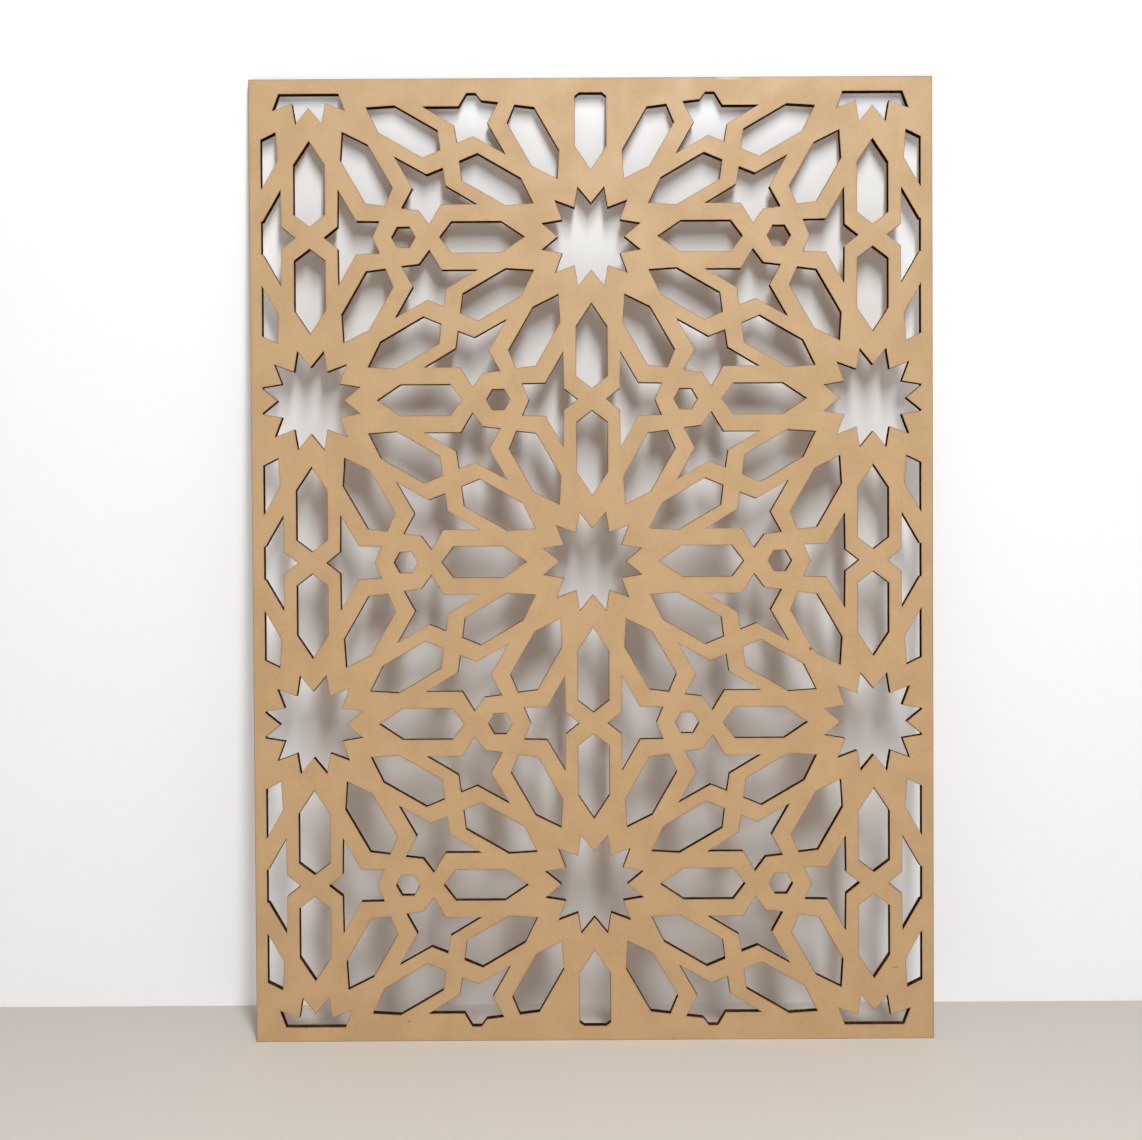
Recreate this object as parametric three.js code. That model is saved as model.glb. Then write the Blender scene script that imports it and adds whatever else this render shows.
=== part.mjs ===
// Fretwork wall panel: one flat sheet of board, pierced with a field of twelve-pointed rosettes.
// Millimetres, +Z up. The sheet stands upright in the XZ plane: its front faces -Y and its back
// lies in the plane y = 0. The origin is on the back of the top rail, midway along it, where the
// panel is fixed to a wall.

import * as THREE from 'three';

// Sheet and the plain rails around its pierced window
const panelWidth = 840;
const panelHeight = 1188;
const sheetThickness = 12;
const sideRailWidth = 14.5;
const endRailWidth = 18;

// Star holes stand on a triangular lattice, with one of them in the middle of the panel
const starSpacing = 400;
const starPoints = 12;
const starTipRadius = 62.8;
const starValleyRadius = 40.8;

// Petal: a long six-sided hole pointing at its star, measured outwards from the star's centre
const petalInnerTip = 81.8;
const petalInnerShoulder = 110.6;
const petalOuterShoulder = 171.8;
const petalOuterTip = 186.4;
const petalHalfWidth = 19.2;

// Small hexagon hole, in the middle of each triangle of stars
const hexagonCorners = 6;
const hexagonRadius = 14.7;

// Link: a five-pointed hole on either side of the line that joins two neighbouring stars.
// Its corners are measured from the middle of that line, away from the line and along it.
const linkTip = { away: 17.8, along: 0 };
const linkNeck = { away: 34.6, along: 13.4 };
const linkArm = { away: 35.2, along: 58.8 };
const linkWaist = { away: 57.4, along: 20.2 };
const linkFoot = { away: 85.8, along: 19.6 };
const linkNotch = { away: 77.4, along: 0 };

// A hole that would show less than this share of itself inside the window is left uncut
const leastShownShare = 0.16;

const windowHalfWidth = panelWidth / 2 - sideRailWidth;
const windowHalfHeight = panelHeight / 2 - endRailWidth;
const columnSpacing = (starSpacing * Math.sqrt(3)) / 2;
const hexagonDistance = starSpacing / Math.sqrt(3);

// The lines that join neighbouring stars stand a lattice turn apart, and one of them is upright
const fullTurn = Math.PI * 2;
const quarterTurn = fullTurn / 4;
const latticeTurn = fullTurn / 6;

function polar(radius, angle) {
  return new THREE.Vector2(radius * Math.cos(angle), radius * Math.sin(angle));
}

function starOutline() {
  const outline = [];
  for (let point = 0; point < starPoints; point += 1) {
    outline.push(polar(starValleyRadius, (point / starPoints) * fullTurn));
    outline.push(polar(starTipRadius, ((point + 0.5) / starPoints) * fullTurn));
  }
  return outline;
}

function petalOutline() {
  return [
    new THREE.Vector2(petalInnerTip, 0),
    new THREE.Vector2(petalInnerShoulder, -petalHalfWidth),
    new THREE.Vector2(petalOuterShoulder, -petalHalfWidth),
    new THREE.Vector2(petalOuterTip, 0),
    new THREE.Vector2(petalOuterShoulder, petalHalfWidth),
    new THREE.Vector2(petalInnerShoulder, petalHalfWidth),
  ];
}

function hexagonOutline() {
  const outline = [];
  for (let corner = 0; corner < hexagonCorners; corner += 1) {
    outline.push(polar(hexagonRadius, (corner / hexagonCorners) * fullTurn));
  }
  return outline;
}

function linkOutline() {
  const sideCorners = [linkNeck, linkArm, linkWaist, linkFoot];
  const nearSide = sideCorners.map((corner) => new THREE.Vector2(corner.away, -corner.along));
  const farSide = sideCorners.map((corner) => new THREE.Vector2(corner.away, corner.along));
  return [
    new THREE.Vector2(linkTip.away, linkTip.along),
    ...nearSide,
    new THREE.Vector2(linkNotch.away, linkNotch.along),
    ...farSide.reverse(),
  ];
}

function placed(outline, centre, angle) {
  const pivot = new THREE.Vector2();
  return outline.map((point) => point.clone().rotateAround(pivot, angle).add(centre));
}

// The holes that belong to one star, so that a lattice of stars makes every hole once
function rosetteHoles(centre) {
  const holes = [placed(starOutline(), centre, 0)];
  for (let petal = 0; petal < starPoints; petal += 1) {
    holes.push(placed(petalOutline(), centre, (petal / starPoints) * fullTurn));
  }
  for (const angle of [0, latticeTurn]) {
    const middle = polar(hexagonDistance, angle).add(centre);
    holes.push(placed(hexagonOutline(), middle, 0));
  }
  for (const line of [quarterTurn - latticeTurn, quarterTurn, quarterTurn + latticeTurn]) {
    const middle = polar(starSpacing / 2, line).add(centre);
    holes.push(placed(linkOutline(), middle, line - quarterTurn));
    holes.push(placed(linkOutline(), middle, line + quarterTurn));
  }
  return holes;
}

function starCentres() {
  const centres = [];
  const columns = Math.ceil(windowHalfWidth / columnSpacing);
  const rows = Math.ceil(windowHalfHeight / starSpacing);
  for (let column = -columns; column <= columns; column += 1) {
    const shift = column % 2 === 0 ? 0 : 0.5;
    for (let row = -rows; row <= rows; row += 1) {
      centres.push(new THREE.Vector2(column * columnSpacing, (row + shift) * starSpacing));
    }
  }
  return centres;
}

// The part of an outline that lies within a straight limit, measured along a direction
function cutOff(outline, direction, limit) {
  const kept = [];
  outline.forEach((point, index) => {
    const next = outline[(index + 1) % outline.length];
    const here = limit - point.dot(direction);
    const there = limit - next.dot(direction);
    if (here >= 0) {
      kept.push(point);
    }
    if (here * there < 0) {
      kept.push(point.clone().lerp(next, here / (here - there)));
    }
  });
  return kept;
}

function insideWindow(outline) {
  const sides = [
    [new THREE.Vector2(1, 0), windowHalfWidth],
    [new THREE.Vector2(-1, 0), windowHalfWidth],
    [new THREE.Vector2(0, 1), windowHalfHeight],
    [new THREE.Vector2(0, -1), windowHalfHeight],
  ];
  return sides.reduce((shape, [direction, limit]) => cutOff(shape, direction, limit), outline);
}

function windowHoles() {
  const holes = [];
  for (const whole of starCentres().flatMap(rosetteHoles)) {
    const shown = insideWindow(whole);
    const share = THREE.ShapeUtils.area(shown) / THREE.ShapeUtils.area(whole);
    if (share >= leastShownShare) {
      holes.push(shown);
    }
  }
  return holes;
}

function panelGeometry() {
  const sheet = new THREE.Shape();
  sheet.moveTo(-panelWidth / 2, -panelHeight / 2);
  sheet.lineTo(panelWidth / 2, -panelHeight / 2);
  sheet.lineTo(panelWidth / 2, panelHeight / 2);
  sheet.lineTo(-panelWidth / 2, panelHeight / 2);
  sheet.closePath();
  sheet.holes = windowHoles().map((outline) => new THREE.Path(outline));
  const geometry = new THREE.ExtrudeGeometry(sheet, { depth: sheetThickness, bevelEnabled: false });
  geometry.rotateX(quarterTurn);
  geometry.translate(0, 0, endRailWidth / 2 - panelHeight / 2);
  return geometry;
}

const board = new THREE.MeshStandardMaterial({ color: 0xd0ab7c, roughness: 0.75, metalness: 0 });

const panel = new THREE.Mesh(panelGeometry(), board);
panel.name = 'fretwork_panel';

const part = new THREE.Group();
part.add(panel);

export default part;
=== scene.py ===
"""Fretwork wall panel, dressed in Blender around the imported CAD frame.

The panel is one flat board, pierced by a laser. Its cut lines are read from the frame, so the
dressed sheet lies exactly where the CAD solid does. It adds what the plain solid leaves out:
softened arrises, toasted rims, scorched cut walls, smoke on the back and a few small marks.
"""

import logging
import math
from collections.abc import Iterable, Sequence
from dataclasses import dataclass, field
from enum import Enum

import bpy
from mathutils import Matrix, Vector
from mathutils.geometry import delaunay_2d_cdt


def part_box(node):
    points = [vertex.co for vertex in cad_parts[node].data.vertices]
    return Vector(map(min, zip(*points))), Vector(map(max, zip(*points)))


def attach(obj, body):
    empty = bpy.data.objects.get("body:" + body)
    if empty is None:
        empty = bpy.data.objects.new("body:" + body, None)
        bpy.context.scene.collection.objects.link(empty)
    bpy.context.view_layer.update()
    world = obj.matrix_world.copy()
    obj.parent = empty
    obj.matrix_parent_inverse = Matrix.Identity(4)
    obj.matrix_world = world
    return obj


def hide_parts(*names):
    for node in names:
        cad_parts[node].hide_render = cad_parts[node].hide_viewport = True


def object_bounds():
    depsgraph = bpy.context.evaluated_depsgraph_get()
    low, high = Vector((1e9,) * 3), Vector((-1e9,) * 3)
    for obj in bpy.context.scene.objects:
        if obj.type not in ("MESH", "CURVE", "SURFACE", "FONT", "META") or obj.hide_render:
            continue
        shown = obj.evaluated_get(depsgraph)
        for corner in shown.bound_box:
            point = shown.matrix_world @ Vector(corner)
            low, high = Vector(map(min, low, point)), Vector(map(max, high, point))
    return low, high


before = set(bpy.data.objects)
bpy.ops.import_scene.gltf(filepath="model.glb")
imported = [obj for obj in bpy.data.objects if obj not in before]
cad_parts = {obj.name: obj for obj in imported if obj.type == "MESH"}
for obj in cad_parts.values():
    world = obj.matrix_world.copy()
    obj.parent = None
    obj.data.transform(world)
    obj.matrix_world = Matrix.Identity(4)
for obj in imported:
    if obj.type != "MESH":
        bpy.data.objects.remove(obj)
cad_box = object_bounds()

Colour = tuple[float, float, float, float]
LampColour = tuple[float, float, float]
Corner = tuple[float, float]
Point = tuple[float, float, float]
Span = tuple[float, float]
Box = tuple[Vector, Vector]

SHEET_NODE = "fretwork_panel"
SHEET_BODY = "root"
MILLIMETRE = 0.001
CUT_DISTANCE = "cut_distance"

# A face of the solid whose normal has no more than this along Y belongs to the front.
FACING_FRONT = -0.9
CORNER_DIGITS = 6

# How the flat faces are cut into triangles: inside the outlines, with the holes left open.
INSIDE_WITH_HOLES = 2
SAME_PLACE = 1e-7

NOISE_MIDDLE = 0.5

# Sockets of a Mix node that take and give colours.
MIX_SHARE = 0
MIX_UNDER = 6
MIX_OVER = 7
MIX_RESULT = 2

log = logging.getLogger("fretwork")


class Skin(Enum):
    """Finishes of the sheet, by the material slot that each one takes."""

    FACE = 0
    CUT_WALL = 1
    BACK = 2


class Effect(Enum):
    """Surface effects that the finishes share, by the name of the node group that makes each."""

    FIBRES = "Board fibres"
    SCORCH = "Scorch creep"
    MARK = "Rub mark"


class Lights(Enum):
    """What a lamp lights."""

    ALL = "everything"
    PANEL = "the panel alone"


def tone(red: int, green: int, blue: int) -> Colour:
    """Turns a colour as seen on a screen into the linear colour that shaders take.

    Args:
        red: Red, from 0 to 255.
        green: Green, from 0 to 255.
        blue: Blue, from 0 to 255.

    Returns:
        The linear colour, with full opacity.
    """

    def linear(level: int) -> float:
        """Undoes the screen's curve for one channel."""
        share = level / 255
        return share / 12.92 if share <= 0.04045 else ((share + 0.055) / 1.055) ** 2.4

    return (linear(red), linear(green), linear(blue), 1.0)


class NodeBench:
    """Adds shader nodes to one tree and wires them up."""

    def __init__(self, tree: bpy.types.NodeTree) -> None:
        """Takes the tree to work on."""
        self.tree = tree

    def add(self, kind: str, **settings: object) -> bpy.types.Node:
        """Adds a node.

        Args:
            kind: Blender's type name for the node, without its ShaderNode prefix.
            **settings: Properties to set on the node.

        Returns:
            The new node.
        """
        node = self.tree.nodes.new(f"ShaderNode{kind}")
        for key, value in settings.items():
            setattr(node, key, value)
        return node

    def feed(self, socket: bpy.types.NodeSocket, value: object) -> None:
        """Links a socket to another socket, or sets it to a plain value.

        Args:
            socket: The input to feed.
            value: An output socket, or a value of the input's own kind.
        """
        if isinstance(value, bpy.types.NodeSocket):
            self.tree.links.new(value, socket)
        else:
            socket.default_value = value

    def math(self, operation: str, *values: object) -> bpy.types.NodeSocket:
        """Adds a Math node.

        Args:
            operation: What it works out.
            *values: Its numbers, in order.

        Returns:
            Its result.
        """
        node = self.add("Math", operation=operation)
        for socket, value in zip(node.inputs, values):
            self.feed(socket, value)
        return node.outputs[0]

    def vector(self, operation: str, *values: object) -> bpy.types.Node:
        """Adds a Vector Math node.

        Args:
            operation: What it works out.
            *values: Its vectors, in order.

        Returns:
            The new node.
        """
        node = self.add("VectorMath", operation=operation)
        for socket, value in zip(node.inputs, values):
            self.feed(socket, value)
        return node

    def scaled(self, position: bpy.types.NodeSocket, factor: object) -> bpy.types.NodeSocket:
        """Multiplies a vector by a number.

        Args:
            position: The vector.
            factor: The number, or a socket that gives it.

        Returns:
            The longer or shorter vector.
        """
        node = self.add("VectorMath", operation="SCALE")
        self.feed(node.inputs[0], position)
        self.feed(node.inputs["Scale"], factor)
        return node.outputs[0]

    def noise(self, position: bpy.types.NodeSocket, detail: float, rough: float) -> bpy.types.NodeSocket:
        """Adds a noise of unit size.

        Args:
            position: Where the noise is read.
            detail: How many finer layers it has.
            rough: How strong the finer layers are.

        Returns:
            The noise, mostly between 0.25 and 0.75.
        """
        node = self.add("TexNoise")
        self.feed(node.inputs["Vector"], position)
        self.feed(node.inputs["Scale"], 1.0)
        self.feed(node.inputs["Detail"], detail)
        self.feed(node.inputs["Roughness"], rough)
        return node.outputs["Fac"]

    def ramp(
        self,
        value: bpy.types.NodeSocket,
        start: object,
        end: object,
        low: object = 0.0,
        high: object = 1.0,
    ) -> bpy.types.NodeSocket:
        """Maps a value smoothly from one range to another.

        Args:
            value: The value to map.
            start: The value that becomes low.
            end: The value that becomes high.
            low: The result at the start.
            high: The result at the end.

        Returns:
            The mapped value, held within its range.
        """
        node = self.add("MapRange", interpolation_type="SMOOTHSTEP")
        for name, given in (
            ("Value", value),
            ("From Min", start),
            ("From Max", end),
            ("To Min", low),
            ("To Max", high),
        ):
            self.feed(node.inputs[name], given)
        return node.outputs["Result"]

    def blend(self, share: object, under: object, over: object) -> bpy.types.NodeSocket:
        """Lays one colour over another.

        Args:
            share: How much of the upper colour shows, from 0 to 1.
            under: The lower colour.
            over: The upper colour.

        Returns:
            The mixed colour.
        """
        node = self.add("Mix", data_type="RGBA")
        self.feed(node.inputs[MIX_SHARE], share)
        self.feed(node.inputs[MIX_UNDER], under)
        self.feed(node.inputs[MIX_OVER], over)
        return node.outputs[MIX_RESULT]

    def effect(self, kind: Effect, **values: object) -> bpy.types.Node:
        """Places a shared effect.

        Args:
            kind: The effect to place.
            **values: Its inputs, with an underscore for each space in an input's name.

        Returns:
            The group node, with the effect's outputs.
        """
        node = self.add("Group", node_tree=bpy.data.node_groups[kind.value])
        for name, value in values.items():
            self.feed(node.inputs[name.replace("_", " ")], value)
        return node


@dataclass(frozen=True)
class EffectShop:
    """Builds each shared effect once, as a node group with named sockets.

    Attributes:
        fibre_slim: How many times longer than wide a fibre is.
        fibre_turns: Directions of the three layers of fibres in the plane of the sheet, in radians.
        dark_span: Noise levels between which a dark fibre comes up.
        pale_span: Noise levels between which a pale fibre comes up.
        cloud_span: Noise levels between which the clouding goes from none to full.
        mark_span: Shares of a mark's half size between which it goes from none to full.
    """

    fibre_slim: float = 6.0
    fibre_turns: tuple[float, float, float] = (0.3, 1.35, 2.4)
    dark_span: Span = (0.6, 0.76)
    pale_span: Span = (0.4, 0.26)
    cloud_span: Span = (0.3, 0.7)
    mark_span: Span = (1.0, 0.35)

    def build(self) -> None:
        """Builds all the effects."""
        self.fibres()
        self.scorch()
        self.mark()

    def start(
        self,
        kind: Effect,
        vectors: Sequence[str],
        floats: Sequence[str],
        outputs: Sequence[str],
    ) -> tuple[NodeBench, bpy.types.Node, bpy.types.Node]:
        """Makes an empty group.

        Args:
            kind: The effect that the group makes.
            vectors: Names of its vector inputs.
            floats: Names of its number inputs.
            outputs: Names of its outputs, all numbers.

        Returns:
            A bench on the group, its input node and its output node.
        """
        tree = bpy.data.node_groups.new(kind.value, "ShaderNodeTree")
        for name in vectors:
            tree.interface.new_socket(name, in_out="INPUT", socket_type="NodeSocketVector")
        for name in floats:
            tree.interface.new_socket(name, in_out="INPUT", socket_type="NodeSocketFloat")
        for name in outputs:
            tree.interface.new_socket(name, in_out="OUTPUT", socket_type="NodeSocketFloat")
        given = tree.nodes.new("NodeGroupInput")
        made = tree.nodes.new("NodeGroupOutput")
        return NodeBench(tree), given, made

    def fibres(self) -> None:
        """Short fibres lying in all directions, and the soft clouding of pressed board."""
        bench, given, made = self.start(
            Effect.FIBRES,
            ("Position",),
            ("Fibre Length", "Cloud Size"),
            ("Dark Fibre", "Pale Fibre", "Cloud", "Height"),
        )
        place = given.outputs["Position"]
        per_fibre = bench.math("DIVIDE", 1.0, given.outputs["Fibre Length"])
        layers = []
        for turn in self.fibre_turns:
            turned = bench.add("VectorRotate", rotation_type="Y_AXIS")
            bench.feed(turned.inputs["Vector"], bench.scaled(place, per_fibre))
            bench.feed(turned.inputs["Angle"], turn)
            slim = bench.vector("MULTIPLY", turned.outputs[0], (1.0, 1.0, self.fibre_slim))
            layers.append(bench.noise(slim.outputs[0], detail=1.0, rough=0.5))
        highest = bench.math("MAXIMUM", bench.math("MAXIMUM", layers[0], layers[1]), layers[2])
        lowest = bench.math("MINIMUM", bench.math("MINIMUM", layers[0], layers[1]), layers[2])
        per_cloud = bench.math("DIVIDE", 1.0, given.outputs["Cloud Size"])
        cloud = bench.noise(bench.scaled(place, per_cloud), detail=3.0, rough=0.55)
        bench.feed(made.inputs["Dark Fibre"], bench.ramp(highest, *self.dark_span))
        bench.feed(made.inputs["Pale Fibre"], bench.ramp(lowest, *self.pale_span))
        bench.feed(made.inputs["Cloud"], bench.ramp(cloud, *self.cloud_span))
        bench.feed(made.inputs["Height"], bench.math("SUBTRACT", highest, lowest))

    def scorch(self) -> None:
        """Browning that creeps in from a cut edge with an uneven front."""
        bench, given, made = self.start(
            Effect.SCORCH,
            ("Position",),
            ("Cut Distance", "Reach", "Patch Size", "Unevenness"),
            ("Scorch",),
        )
        per_patch = bench.math("DIVIDE", 1.0, given.outputs["Patch Size"])
        patches = bench.noise(bench.scaled(given.outputs["Position"], per_patch), detail=2.0, rough=0.6)
        sway = bench.math("SUBTRACT", patches, NOISE_MIDDLE)
        swing = bench.math("MULTIPLY", sway, given.outputs["Unevenness"])
        reach = bench.math("MULTIPLY", given.outputs["Reach"], bench.math("ADD", 1.0, swing))
        share = bench.math("DIVIDE", given.outputs["Cut Distance"], reach)
        bench.feed(made.inputs["Scorch"], bench.ramp(share, 1.0, 0.0))

    def mark(self) -> None:
        """One small oval mark with a soft, broken rim."""
        bench, given, made = self.start(
            Effect.MARK,
            ("Position", "Middle", "Half Size"),
            ("Grit Size",),
            ("Mark",),
        )
        place = given.outputs["Position"]
        apart = bench.vector("SUBTRACT", place, given.outputs["Middle"])
        shares = bench.vector("DIVIDE", apart.outputs[0], given.outputs["Half Size"])
        radius = bench.vector("LENGTH", shares.outputs[0]).outputs["Value"]
        per_grit = bench.math("DIVIDE", 1.0, given.outputs["Grit Size"])
        grit = bench.noise(bench.scaled(place, per_grit), detail=2.0, rough=0.6)
        broken = bench.math("ADD", radius, bench.math("SUBTRACT", grit, NOISE_MIDDLE))
        bench.feed(made.inputs["Mark"], bench.ramp(broken, *self.mark_span))


@dataclass(frozen=True)
class Finish:
    """What every finish has: its name, and a way to start and end its material.

    Attributes:
        name: The material's name.
        specular: How strongly the surface reflects.
        bump_depth: Depth of the finish's relief, in metres.
    """

    name: str
    specular: float
    bump_depth: float

    def open_material(self) -> tuple[bpy.types.Material, NodeBench, bpy.types.Node, bpy.types.NodeSocket]:
        """Makes an empty material.

        Returns:
            The material, a bench on it, its shader and the position in the row frame.
        """
        material = bpy.data.materials.new(self.name)
        material.use_nodes = True
        bench = NodeBench(material.node_tree)
        shader = material.node_tree.nodes["Principled BSDF"]
        shader.inputs["Specular IOR Level"].default_value = self.specular
        place = bench.add("TexCoord").outputs["Object"]
        return material, bench, shader, place

    def raise_relief(self, bench: NodeBench, shader: bpy.types.Node, height: bpy.types.NodeSocket) -> None:
        """Gives the shader a relief.

        Args:
            bench: The material's bench.
            shader: The shader to give it to.
            height: The relief, from 0 to 1.
        """
        bump = bench.add("Bump")
        bump.inputs["Distance"].default_value = self.bump_depth
        bench.feed(bump.inputs["Height"], height)
        bench.feed(shader.inputs["Normal"], bump.outputs["Normal"])


@dataclass(frozen=True)
class SmallMark:
    """A mark on the face.

    Attributes:
        across: Its middle from the middle of the panel, to the right, in metres.
        up: Its middle from the origin, upwards, in metres.
        half_width: Half its width, in metres.
        half_height: Half its height, in metres.
        colour: Its colour.
        strength: How much of the board it hides, from 0 to 1.
        grit: Size of the breaks in its rim, as a share of its smaller half size.
    """

    across: float
    up: float
    half_width: float
    half_height: float
    colour: Colour
    strength: float
    grit: float = 0.8


@dataclass(frozen=True)
class BoardFinish(Finish):
    """Bare pressed board, toasted where the laser cut it.

    Attributes:
        light: The board's paler colour.
        deep: The board's deeper colour.
        dark_fibre: Colour of its darker fibres.
        pale_fibre: Colour of its paler fibres.
        fibre_share: How strongly the fibres show.
        cloud_size: Size of the board's clouding, in metres.
        smooth: Roughness where the board is smoothest.
        dull: Roughness where the board is dullest.
        toast: Colour of the rim of a cut.
        toast_reach: How far the rim goes, in metres.
        smoke: Colour of the smoke around a cut.
        smoke_reach: How far the smoke goes, in metres.
        smoke_share: How strongly the smoke shows.
        marks: Marks that the board has picked up.
        fibre_length: Length of a fibre, in metres.
        toast_patch: Size of the waves in the rim of a cut, in metres.
        smoke_patch: Size of the puffs in the smoke, in metres.
        unevenness: How far both come and go along a cut, as a share of their reach.
    """

    light: Colour
    deep: Colour
    dark_fibre: Colour
    pale_fibre: Colour
    fibre_share: float
    cloud_size: float
    smooth: float
    dull: float
    toast: Colour
    toast_reach: float
    smoke: Colour
    smoke_reach: float
    smoke_share: float
    marks: tuple[SmallMark, ...] = ()
    fibre_length: float = 2.6 * MILLIMETRE
    toast_patch: float = 4 * MILLIMETRE
    smoke_patch: float = 14 * MILLIMETRE
    unevenness: float = 1.6

    def material(self, sheet_front: float) -> bpy.types.Material:
        """Makes the material.

        Args:
            sheet_front: Where the front of the sheet lies along Y, in metres.

        Returns:
            The material, with all its nodes.
        """
        material, bench, shader, place = self.open_material()
        fibres = bench.effect(
            Effect.FIBRES,
            Position=place,
            Fibre_Length=self.fibre_length,
            Cloud_Size=self.cloud_size,
        )
        colour = bench.blend(fibres.outputs["Cloud"], self.light, self.deep)
        for output, fibre in (("Dark Fibre", self.dark_fibre), ("Pale Fibre", self.pale_fibre)):
            share = bench.math("MULTIPLY", fibres.outputs[output], self.fibre_share)
            colour = bench.blend(share, colour, fibre)
        colour = self.lay_marks(bench, place, colour, sheet_front)
        colour = self.lay_scorch(bench, place, colour)
        bench.feed(shader.inputs["Base Color"], colour)
        rough = bench.ramp(fibres.outputs["Cloud"], 0.0, 1.0, self.smooth, self.dull)
        bench.feed(shader.inputs["Roughness"], rough)
        self.raise_relief(bench, shader, fibres.outputs["Height"])
        return material

    def lay_marks(
        self,
        bench: NodeBench,
        place: bpy.types.NodeSocket,
        colour: bpy.types.NodeSocket,
        sheet_front: float,
    ) -> bpy.types.NodeSocket:
        """Lays the marks on the board.

        Args:
            bench: The material's bench.
            place: The position in the row frame.
            colour: The colour so far.
            sheet_front: Where the front of the sheet lies along Y, in metres.

        Returns:
            The colour with the marks.
        """
        for mark in self.marks:
            half = (mark.half_width, mark.half_width, mark.half_height)
            spot = bench.effect(
                Effect.MARK,
                Position=place,
                Middle=(mark.across, sheet_front, mark.up),
                Half_Size=half,
                Grit_Size=min(half) * mark.grit,
            )
            share = bench.math("MULTIPLY", spot.outputs["Mark"], mark.strength)
            colour = bench.blend(share, colour, mark.colour)
        return colour

    def lay_scorch(
        self,
        bench: NodeBench,
        place: bpy.types.NodeSocket,
        colour: bpy.types.NodeSocket,
    ) -> bpy.types.NodeSocket:
        """Lays the smoke and then the toasted rim around the cuts.

        Args:
            bench: The material's bench.
            place: The position in the row frame.
            colour: The colour so far.

        Returns:
            The colour with its scorching.
        """
        distance = bench.add("Attribute", attribute_name=CUT_DISTANCE).outputs["Fac"]
        for reach, patch, share, scorched in (
            (self.smoke_reach, self.smoke_patch, self.smoke_share, self.smoke),
            (self.toast_reach, self.toast_patch, 1.0, self.toast),
        ):
            creep = bench.effect(
                Effect.SCORCH,
                Position=place,
                Cut_Distance=distance,
                Reach=reach,
                Patch_Size=patch,
                Unevenness=self.unevenness,
            )
            shown = bench.math("MULTIPLY", creep.outputs["Scorch"], share)
            colour = bench.blend(shown, colour, scorched)
        return colour


@dataclass(frozen=True)
class CharFinish(Finish):
    """The wall that the laser left: charred, with fine streaks along the beam.

    Attributes:
        char: Its darkest colour.
        brown: The brown that shows between the streaks.
        ash: The ashy grains on it.
        ash_share: How strongly the grains show.
        streak_width: Width of a streak, in metres.
        streak_length: Length of a streak, in metres.
        bare_span: Noise levels between which a streak goes from charred to brown.
        gloss_span: Noise levels between which a streak goes from smoothest to dullest.
        grain_length: Length of a grain, in metres.
        cloud_size: Size of the patches with and without streaks, in metres.
        smooth: Roughness where it is smoothest.
        dull: Roughness where it is dullest.
    """

    char: Colour
    brown: Colour
    ash: Colour
    ash_share: float = 0.35
    streak_width: float = 0.7 * MILLIMETRE
    streak_length: float = 18 * MILLIMETRE
    bare_span: Span = (0.4, 0.62)
    gloss_span: Span = (0.3, 0.7)
    grain_length: float = 1.6 * MILLIMETRE
    cloud_size: float = 22 * MILLIMETRE
    smooth: float = 0.62
    dull: float = 0.88

    def material(self) -> bpy.types.Material:
        """Makes the material.

        Returns:
            The material, with all its nodes.
        """
        material, bench, shader, place = self.open_material()
        finer = (1 / self.streak_width, 1 / self.streak_length, 1 / self.streak_width)
        streaks = bench.noise(bench.vector("MULTIPLY", place, finer).outputs[0], detail=2.0, rough=0.6)
        fibres = bench.effect(
            Effect.FIBRES,
            Position=place,
            Fibre_Length=self.grain_length,
            Cloud_Size=self.cloud_size,
        )
        bare = bench.math("MULTIPLY", bench.ramp(streaks, *self.bare_span), fibres.outputs["Cloud"])
        colour = bench.blend(bare, self.char, self.brown)
        grains = bench.math("MULTIPLY", fibres.outputs["Pale Fibre"], self.ash_share)
        colour = bench.blend(grains, colour, self.ash)
        bench.feed(shader.inputs["Base Color"], colour)
        rough = bench.ramp(streaks, *self.gloss_span, self.smooth, self.dull)
        bench.feed(shader.inputs["Roughness"], rough)
        self.raise_relief(bench, shader, streaks)
        return material


@dataclass(frozen=True)
class CutLine:
    """One closed cut in the sheet, seen from the front, with the board on its left.

    Attributes:
        corners: Its corners, across and up, in metres.
    """

    corners: tuple[Vector, ...]

    def inset(self, depth: float, longest: float) -> list[Vector]:
        """Moves the line into the board.

        Args:
            depth: How far each side moves, in metres.
            longest: The most that a corner moves, as a multiple of the depth.

        Returns:
            The moved corners.
        """
        count = len(self.corners)
        normals = []
        for index, corner in enumerate(self.corners):
            along = (self.corners[(index + 1) % count] - corner).normalized()
            normals.append(Vector((-along.y, along.x)))
        moved = []
        for index, corner in enumerate(self.corners):
            before = normals[index - 1]
            after = normals[index]
            step = (before + after) / (1 + before.dot(after))
            if step.length > longest:
                step = step.normalized() * longest
            moved.append(corner + step * depth)
        return moved


def read_cut_lines(node: bpy.types.Object) -> list[CutLine]:
    """Reads the cut lines from the front face of a CAD sheet.

    Args:
        node: The sheet, with its front towards -Y.

    Returns:
        Its outer edge and its holes, in the order that the mesh has them.
    """
    mesh = node.data
    steps: dict[tuple[Corner, Corner], None] = {}
    for polygon in mesh.polygons:
        if polygon.normal.y > FACING_FRONT:
            continue
        places = [mesh.vertices[index].co for index in polygon.vertices]
        corners = [(round(place.x, CORNER_DIGITS), round(place.z, CORNER_DIGITS)) for place in places]
        for here, there in zip(corners, corners[1:] + corners[:1]):
            steps[here, there] = None
    follows = {here: there for here, there in steps if (there, here) not in steps}
    lines = []
    while follows:
        first, here = next(iter(follows.items()))
        del follows[first]
        line = [first]
        while here != first:
            line.append(here)
            here = follows.pop(here)
        lines.append(CutLine(tuple(Vector(corner) for corner in line)))
    return lines


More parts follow.
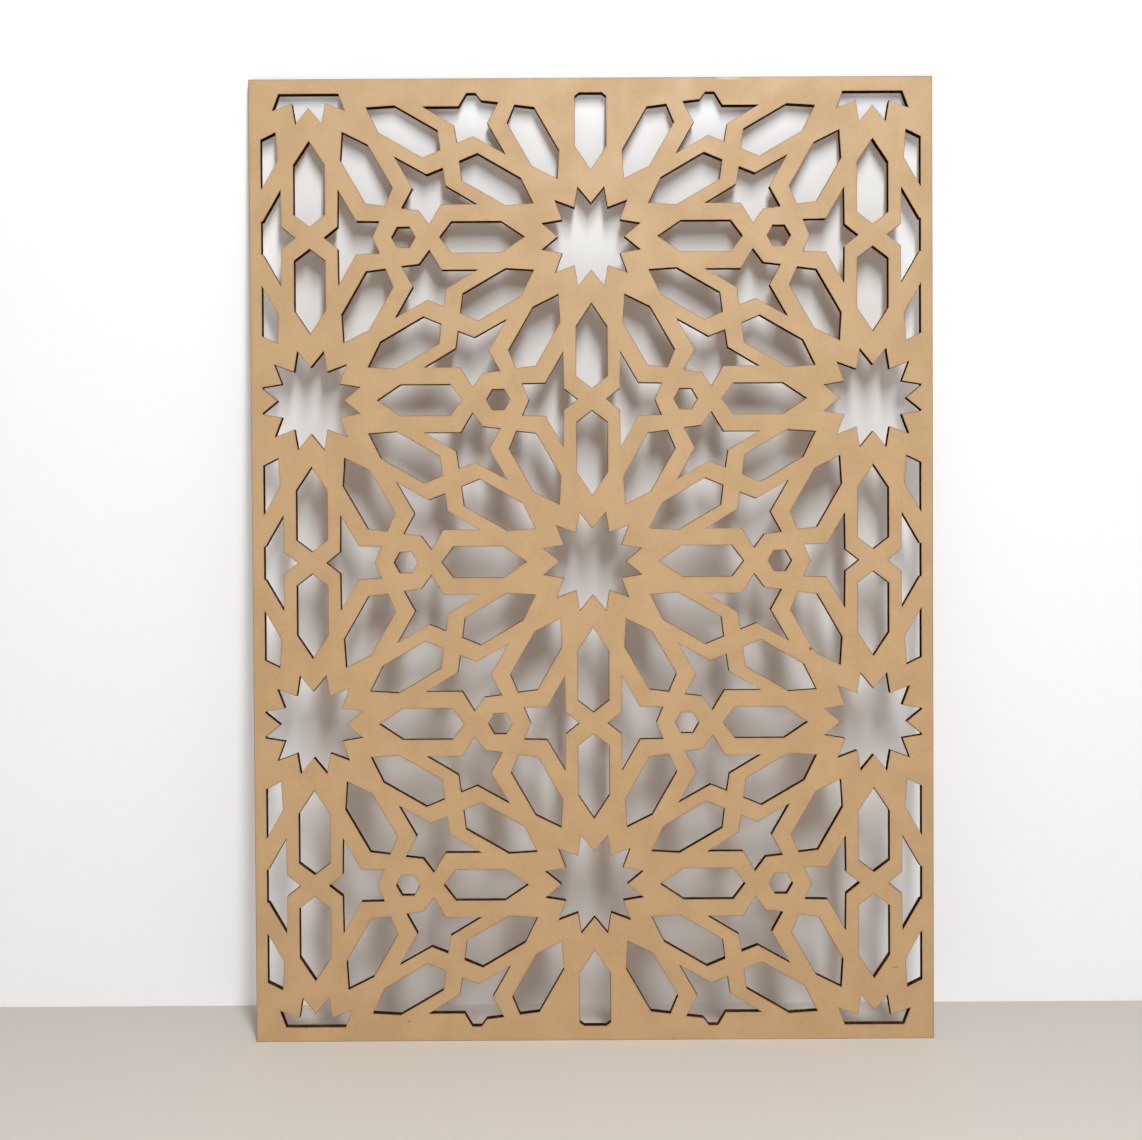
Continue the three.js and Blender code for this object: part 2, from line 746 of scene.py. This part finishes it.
@dataclass
class SheetMesh:
    """Corners and faces of the sheet, collected before they become one mesh.

    Attributes:
        places: Corners in the row frame, in metres.
        distances: How far each corner is from the nearest cut, in metres.
        faces: Corners of each face.
        skins: Finish of each face.
    """

    places: list[Point] = field(default_factory=list)
    distances: list[float] = field(default_factory=list)
    faces: list[tuple[int, ...]] = field(default_factory=list)
    skins: list[Skin] = field(default_factory=list)

    def ring(self, line: Iterable[Vector], depth: float, distance: float) -> list[int]:
        """Adds a closed line of corners.

        Args:
            line: The corners, across and up.
            depth: Where they lie along Y.
            distance: How far they are from the cut.

        Returns:
            Their numbers.
        """
        start = len(self.places)
        self.places.extend((corner.x, depth, corner.y) for corner in line)
        self.distances.extend([distance] * (len(self.places) - start))
        return list(range(start, len(self.places)))

    def band(self, lower: list[int], upper: list[int], skin: Skin) -> None:
        """Joins two rings with a band of four-sided faces.

        Args:
            lower: The ring nearer the middle of the back.
            upper: The ring nearer the middle of the front.
            skin: The band's finish.
        """
        count = len(lower)
        for index in range(count):
            after = (index + 1) % count
            self.faces.append((lower[index], lower[after], upper[after], upper[index]))
            self.skins.append(skin)

    def fill(self, rings: Sequence[list[int]], skin: Skin) -> None:
        """Covers the board between all the rings of one side with flat faces.

        Args:
            rings: The innermost ring around each cut.
            skin: The side's finish.
        """
        numbers = [number for ring in rings for number in ring]
        flat = [Vector((self.places[number][0], self.places[number][2])) for number in numbers]
        outlines = []
        for ring in rings:
            start = outlines[-1][-1] + 1 if outlines else 0
            outlines.append(list(range(start, start + len(ring))))
        _, _, triangles, sources, _, _ = delaunay_2d_cdt(flat, [], outlines, INSIDE_WITH_HOLES, SAME_PLACE)
        for triangle in triangles:
            order = triangle if skin is Skin.FACE else triangle[::-1]
            self.faces.append(tuple(numbers[sources[index][0]] for index in order))
            self.skins.append(skin)

    def to_object(self, name: str) -> bpy.types.Object:
        """Makes one object of all the faces.

        Args:
            name: The object's name.

        Returns:
            The object, linked to the scene.
        """
        mesh = bpy.data.meshes.new(name)
        mesh.from_pydata(self.places, [], self.faces)
        mesh.polygons.foreach_set("material_index", [skin.value for skin in self.skins])
        layer = mesh.attributes.new(CUT_DISTANCE, "FLOAT", "POINT")
        layer.data.foreach_set("value", self.distances)
        mesh.validate()
        mesh.update()
        piece = bpy.data.objects.new(name, mesh)
        bpy.context.scene.collection.objects.link(piece)
        return piece


@dataclass(frozen=True)
class FretworkSheet:
    """The pierced board itself.

    Attributes:
        name: The piece's name.
        arris: Width of the softened edge between a face and a cut wall, in metres.
        rim: Width of the strip beside a cut that the toasting may reach, in metres.
        halo: Width of the strip beside a cut that the smoke may reach, in metres.
        longest_corner: The most that a strip's corner reaches, as a multiple of its width.
    """

    name: str = "fretwork_sheet"
    arris: float = 0.3 * MILLIMETRE
    rim: float = 1.6 * MILLIMETRE
    halo: float = 5.5 * MILLIMETRE
    longest_corner: float = 1.8

    def build(self, node: bpy.types.Object, box: Box) -> bpy.types.Object:
        """Builds the sheet around the CAD solid's own cut lines.

        Args:
            node: The CAD solid.
            box: Its lowest and highest corners.

        Returns:
            The sheet, as one closed mesh.
        """
        front = box[0].y
        back = box[1].y
        stations = (
            (self.halo, back),
            (self.rim, back),
            (self.arris, back),
            (0.0, back - self.arris),
            (0.0, front + self.arris),
            (self.arris, front),
            (self.rim, front),
            (self.halo, front),
        )
        bands = (
            Skin.BACK,
            Skin.BACK,
            Skin.BACK,
            Skin.CUT_WALL,
            Skin.FACE,
            Skin.FACE,
            Skin.FACE,
        )
        sheet = SheetMesh()
        back_rings = []
        front_rings = []
        for line in read_cut_lines(node):
            rings = []
            for inset, depth in stations:
                rings.append(sheet.ring(line.inset(inset, self.longest_corner), depth, inset))
            for lower, upper, skin in zip(rings, rings[1:], bands):
                sheet.band(lower, upper, skin)
            back_rings.append(rings[0])
            front_rings.append(rings[-1])
        sheet.fill(back_rings, Skin.BACK)
        sheet.fill(front_rings, Skin.FACE)
        return sheet.to_object(self.name)

    def dress(self, piece: bpy.types.Object, finishes: dict[Skin, bpy.types.Material]) -> None:
        """Gives the sheet its finishes and its place on the frame.

        Args:
            piece: The sheet.
            finishes: The material of each skin.
        """
        for skin in Skin:
            piece.data.materials.append(finishes[skin])
        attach(piece, SHEET_BODY)
        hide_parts(SHEET_NODE)


def board_finishes(sheet_front: float) -> dict[Skin, bpy.types.Material]:
    """Makes the sheet's three finishes.

    Args:
        sheet_front: Where the front of the sheet lies along Y, in metres.

    Returns:
        The material of each skin.
    """
    toast = tone(74, 44, 24)
    knot = tone(92, 58, 36)
    scuff = tone(160, 84, 56)
    face = BoardFinish(
        name="Bare board face",
        specular=0.5,
        bump_depth=0.06 * MILLIMETRE,
        light=tone(202, 169, 125),
        deep=tone(193, 160, 116),
        dark_fibre=tone(150, 114, 76),
        pale_fibre=tone(214, 188, 150),
        fibre_share=0.3,
        cloud_size=48 * MILLIMETRE,
        smooth=0.46,
        dull=0.56,
        toast=toast,
        toast_reach=0.8 * MILLIMETRE,
        smoke=tone(176, 136, 92),
        smoke_reach=3.2 * MILLIMETRE,
        smoke_share=0.2,
        marks=(
            SmallMark(0.2685, -0.6945, 2.6 * MILLIMETRE, 2.4 * MILLIMETRE, knot, 0.8),
            SmallMark(0.3725, -1.0905, 6.0 * MILLIMETRE, 1.7 * MILLIMETRE, scuff, 0.5),
            SmallMark(-0.231, -1.1545, 2.4 * MILLIMETRE, 2.0 * MILLIMETRE, knot, 0.42),
            SmallMark(0.170, 0.0085, 18 * MILLIMETRE, 3.6 * MILLIMETRE, tone(236, 224, 206), 0.6),
        ),
    )
    back = BoardFinish(
        name="Bare board back",
        specular=0.4,
        bump_depth=0.08 * MILLIMETRE,
        light=tone(200, 168, 126),
        deep=tone(190, 157, 115),
        dark_fibre=tone(146, 110, 74),
        pale_fibre=tone(214, 187, 148),
        fibre_share=0.36,
        cloud_size=70 * MILLIMETRE,
        smooth=0.58,
        dull=0.7,
        toast=toast,
        toast_reach=1.1 * MILLIMETRE,
        smoke=tone(132, 94, 58),
        smoke_reach=5.0 * MILLIMETRE,
        smoke_share=0.5,
    )
    char = CharFinish(
        name="Scorched cut wall",
        specular=0.0,
        bump_depth=0.12 * MILLIMETRE,
        char=tone(28, 13, 6),
        brown=tone(98, 58, 32),
        ash=tone(104, 74, 50),
    )
    return {
        Skin.FACE: face.material(sheet_front),
        Skin.CUT_WALL: char.material(),
        Skin.BACK: back.material(sheet_front),
    }


@dataclass(frozen=True)
class SoftBox:
    """A soft studio lamp.

    Attributes:
        name: The lamp's name.
        place: Where it hangs, in metres.
        aim: The point that it faces, in metres.
        width: Its width, in metres.
        height: Its height, in metres.
        watts: Its power.
        colour: Its colour.
        lights: What it lights.
        bounces: How many times its light is passed on.
    """

    name: str
    place: Point
    aim: Point
    width: float
    height: float
    watts: float
    colour: LampColour = (1.0, 1.0, 1.0)
    lights: Lights = Lights.ALL
    bounces: int = 1024

    def build(self, panel_alone: bpy.types.Collection) -> bpy.types.Object:
        """Hangs the lamp.

        Args:
            panel_alone: What a lamp for the panel alone lights.

        Returns:
            The lamp, linked to the scene.
        """
        data = bpy.data.lights.new(self.name, "AREA")
        data.cycles.max_bounces = self.bounces
        data.shape = "RECTANGLE"
        data.size = self.width
        data.size_y = self.height
        data.energy = self.watts
        data.color = self.colour
        lamp = bpy.data.objects.new(self.name, data)
        lamp.location = self.place
        facing = Vector(self.aim) - Vector(self.place)
        lamp.rotation_euler = facing.to_track_quat("-Z", "Y").to_euler()
        if self.lights is Lights.PANEL:
            lamp.light_linking.receiver_collection = panel_alone
        bpy.context.scene.collection.objects.link(lamp)
        return lamp


@dataclass(frozen=True)
class Studio:
    """Floor, backdrop and light. None of it is part of the panel.

    Attributes:
        floor_colour: The floor's colour.
        floor_rough: The floor's roughness.
        floor_reach: How far the floor goes each way, in metres.
        backdrop_colour: The backdrop's colour.
        backdrop_rough: The backdrop's roughness.
        backdrop_reach: How far the backdrop goes to each side, in metres.
        backdrop_top: How high the backdrop goes, in metres.
        gap_top: Room between the panel's top and the backdrop, in metres.
        gap_foot: Room between the panel's foot and the backdrop, in metres.
        surround: Strength of the even light from all sides.
        surround_colour: Colour of that light.
        paper: Colour of the surround as the camera sees it.
        fade_start: How far from the panel's top the floor starts to fade into it, in metres.
        glow: Strength of the painted light on the backdrop around the panel, a glow of the backdrop's own
            that stands in for lamp light spilling over it.
        glow_colour: Colour of that painted light.
        glow_inset: How far that painted light reaches in behind the panel, in metres.
        lamps: The lamps.
    """

    floor_colour: Colour = tone(246, 242, 236)
    floor_rough: float = 0.6
    floor_reach: float = 6.0
    backdrop_colour: Colour = tone(252, 252, 252)
    backdrop_rough: float = 0.9
    backdrop_reach: float = 6.0
    backdrop_top: float = 1.6
    gap_top: float = 0.001
    gap_foot: float = 0.145
    surround: float = 0.3
    surround_colour: Colour = (1.0, 0.863, 0.798, 1.0)
    paper: Colour = tone(238, 237, 235)
    fade_start: float = 2.4
    glow: float = 0.17
    glow_colour: Colour = (0.8, 0.92, 1.0, 1.0)
    glow_inset: float = 0.07
    lamps: tuple[SoftBox, ...] = (
        SoftBox(
            name="Key",
            place=(0.3, -2.3, 1.2),
            aim=(0.0, 0.0, -0.5),
            width=0.32,
            height=1.6,
            watts=60.5,
            colour=(0.93, 0.97, 0.985),
        ),
        SoftBox(
            name="Low fill",
            place=(0.0, -1.5, -0.85),
            aim=(0.0, 0.0, -0.95),
            width=1.6,
            height=0.5,
            watts=2.0,
            colour=(1.0, 0.6, 0.3),
            lights=Lights.PANEL,
        ),
        SoftBox(
            name="Back fill",
            place=(0.4, 2.4, 0.9),
            aim=(0.0, 0.0, -0.6),
            width=2.0,
            height=2.0,
            watts=70.0,
            lights=Lights.PANEL,
            bounces=0,
        ),
    )

    def build(self, box: Box, panel: bpy.types.Object) -> None:
        """Sets up the floor, the backdrop and the light.

        Args:
            box: The panel's lowest and highest corners.
            panel: The dressed panel.
        """
        low, high = box
        floor = self.lay_floor(low.z)
        backdrop = self.hang_backdrop(low, high)
        self.hang_lamps(panel)
        self.light_surround()

    def lay_floor(self, level: float) -> bpy.types.Object:
        """Lays the floor under the panel.

        Args:
            level: Its height, in metres.

        Returns:
            The floor.
        """
        reach = self.floor_reach
        floor = self.plane(
            "floor",
            (
                (-reach, -reach, level),
                (reach, -reach, level),
                (reach, reach, level),
                (-reach, reach, level),
            ),
        )
        floor.data.materials.append(self.paint_floor())
        return floor

    def hang_backdrop(self, low: Vector, high: Vector) -> bpy.types.Object:
        """Hangs the backdrop behind the panel, leaning towards its top.

        Args:
            low: The panel's lowest corner.
            high: The panel's highest corner.

        Returns:
            The backdrop.
        """
        lean = (self.gap_foot - self.gap_top) / (high.z - low.z)
        foot_y = high.y + self.gap_foot
        top_y = foot_y - lean * (self.backdrop_top - low.z)
        side = self.backdrop_reach
        backdrop = self.plane(
            "backdrop",
            (
                (-side, foot_y, low.z),
                (side, foot_y, low.z),
                (side, top_y, self.backdrop_top),
                (-side, top_y, self.backdrop_top),
            ),
        )
        backdrop.data.materials.append(self.paint_backdrop(high))
        backdrop.visible_shadow = False
        backdrop.visible_diffuse = False
        return backdrop

    def hang_lamps(self, panel: bpy.types.Object) -> None:
        """Hangs all the lamps.

        Args:
            panel: The dressed panel, which some lamps light alone.
        """
        panel_alone = bpy.data.collections.new(Lights.PANEL.value)
        panel_alone.objects.link(panel)
        for lamp in self.lamps:
            lamp.build(panel_alone)

    def plane(self, name: str, corners: Sequence[Point]) -> bpy.types.Object:
        """Makes a flat stage piece.

        Args:
            name: The piece's name.
            corners: Its corners, in metres.

        Returns:
            The piece, linked to the scene.
        """
        mesh = bpy.data.meshes.new(name)
        mesh.from_pydata(list(corners), [], [tuple(range(len(corners)))])
        piece = bpy.data.objects.new(name, mesh)
        bpy.context.scene.collection.objects.link(piece)
        return piece

    def open_paint(
        self,
        name: str,
        colour: Colour,
        rough: float,
    ) -> tuple[bpy.types.Material, NodeBench, bpy.types.Node]:
        """Starts a plain stage paint.

        Args:
            name: The material's name.
            colour: Its colour.
            rough: Its roughness.

        Returns:
            The material, a bench on it and its shader.
        """
        material = bpy.data.materials.new(name)
        material.use_nodes = True
        shader = material.node_tree.nodes["Principled BSDF"]
        shader.inputs["Base Color"].default_value = colour
        shader.inputs["Roughness"].default_value = rough
        return material, NodeBench(material.node_tree), shader

    def show_either(
        self,
        bench: NodeBench,
        share: bpy.types.NodeSocket,
        first: bpy.types.NodeSocket,
        second: bpy.types.NodeSocket,
    ) -> None:
        """Ends a tree with a choice of two shaders.

        Args:
            bench: A bench on the tree.
            share: How much of the second shows, from 0 to 1.
            first: The shader shown at 0.
            second: The shader shown at 1.
        """
        choice = bench.add("MixShader")
        for socket, given in zip(choice.inputs, (share, first, second)):
            bench.feed(socket, given)
        output = bench.tree.get_output_node("ALL")
        bench.feed(output.inputs["Surface"], choice.outputs["Shader"])

    def paint_floor(self) -> bpy.types.Material:
        """Makes a pale floor that fades into the surround far from the panel.

        Returns:
            The paint.
        """
        material, bench, shader = self.open_paint("Pale floor", self.floor_colour, self.floor_rough)
        place = bench.add("TexCoord").outputs["Object"]
        apart = bench.vector("LENGTH", place).outputs["Value"]
        far = bench.ramp(apart, self.fade_start, self.floor_reach)
        seen = bench.math("MULTIPLY", far, bench.add("LightPath").outputs["Is Camera Ray"])
        paper = bench.add("Emission")
        paper.inputs["Color"].default_value = self.paper
        self.show_either(bench, seen, shader.outputs["BSDF"], paper.outputs["Emission"])
        return material

    def paint_backdrop(self, corner: Vector) -> bpy.types.Material:
        """Makes a white backdrop that can be seen through from behind, brighter around the panel through a
        painted glow of light.

        Args:
            corner: The panel's highest corner.

        Returns:
            The paint.
        """
        material, bench, shader = self.open_paint(
            "Pale backdrop",
            self.backdrop_colour,
            self.backdrop_rough,
        )
        place = bench.add("SeparateXYZ")
        bench.feed(place.inputs["Vector"], bench.add("TexCoord").outputs["Object"])
        aside = bench.math("SUBTRACT", bench.math("ABSOLUTE", place.outputs["X"]), corner.x)
        above = bench.math("SUBTRACT", place.outputs["Z"], corner.z)
        outside = bench.math("MAXIMUM", aside, above)
        # Painted light: the backdrop glows of its own beyond the panel's sides and top, and fades out in
        # behind the panel's edges.
        glow = bench.ramp(outside, -self.glow_inset, 0.0, 0.0, self.glow)
        bench.feed(shader.inputs["Emission Color"], self.glow_colour)
        bench.feed(shader.inputs["Emission Strength"], glow)
        behind = bench.add("NewGeometry").outputs["Backfacing"]
        clear = bench.add("BsdfTransparent")
        self.show_either(bench, behind, shader.outputs["BSDF"], clear.outputs["BSDF"])
        return material

    def light_surround(self) -> None:
        """Lights the scene evenly from all sides, with a paler look where the camera sees past it."""
        world = bpy.data.worlds.new("Studio")
        world.use_nodes = True
        bench = NodeBench(world.node_tree)
        light = world.node_tree.nodes["Background"]
        light.inputs["Color"].default_value = self.surround_colour
        light.inputs["Strength"].default_value = self.surround
        paper = bench.add("Background")
        paper.inputs["Color"].default_value = self.paper
        seen = bench.add("LightPath").outputs["Is Camera Ray"]
        self.show_either(bench, seen, light.outputs["Background"], paper.outputs["Background"])
        bpy.context.scene.world = world


@dataclass(frozen=True)
class PictureCamera:
    """The camera, square on to the panel.

    Attributes:
        place: Where it stands, in metres.
        pitch: How far it looks down, in degrees.
        roll: How far it is turned about its own axis, in degrees.
        focal_pixels: Its focal length in pixels of the picture.
        picture_width: Width of the picture, in pixels.
        sensor: Width of its sensor, in millimetres.
    """

    place: Point = (-0.0268, -1.9867, -0.561)
    pitch: float = 1.0
    roll: float = 0.328
    focal_pixels: float = 1600.0
    picture_width: float = 1142.0
    sensor: float = 36.0

    def build(self) -> bpy.types.Object:
        """Sets up the camera.

        Returns:
            The camera, as the scene's own.
        """
        data = bpy.data.cameras.new("Camera")
        data.sensor_width = self.sensor
        data.lens = self.sensor * self.focal_pixels / self.picture_width
        camera = bpy.data.objects.new("Camera", data)
        camera.location = self.place
        camera.rotation_euler = (math.radians(90 - self.pitch), math.radians(self.roll), 0.0)
        scene = bpy.context.scene
        scene.collection.objects.link(camera)
        scene.camera = camera
        scene.view_settings.view_transform = "Standard"
        return camera


def main() -> None:
    """Builds the camera, the effects, the sheet and the studio in order, and reports the piece."""
    logging.basicConfig(level=logging.INFO, format="%(name)s: %(message)s")
    PictureCamera().build()
    EffectShop().build()
    sheet_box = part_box(SHEET_NODE)
    sheet = FretworkSheet()
    piece = sheet.build(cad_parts[SHEET_NODE], sheet_box)
    sheet.dress(piece, board_finishes(sheet_box[0].y))
    log.info("%s: %d corners, %d faces", piece.name, len(piece.data.vertices), len(piece.data.polygons))
    Studio().build(cad_box, piece)


if __name__ == "__main__":
    main()
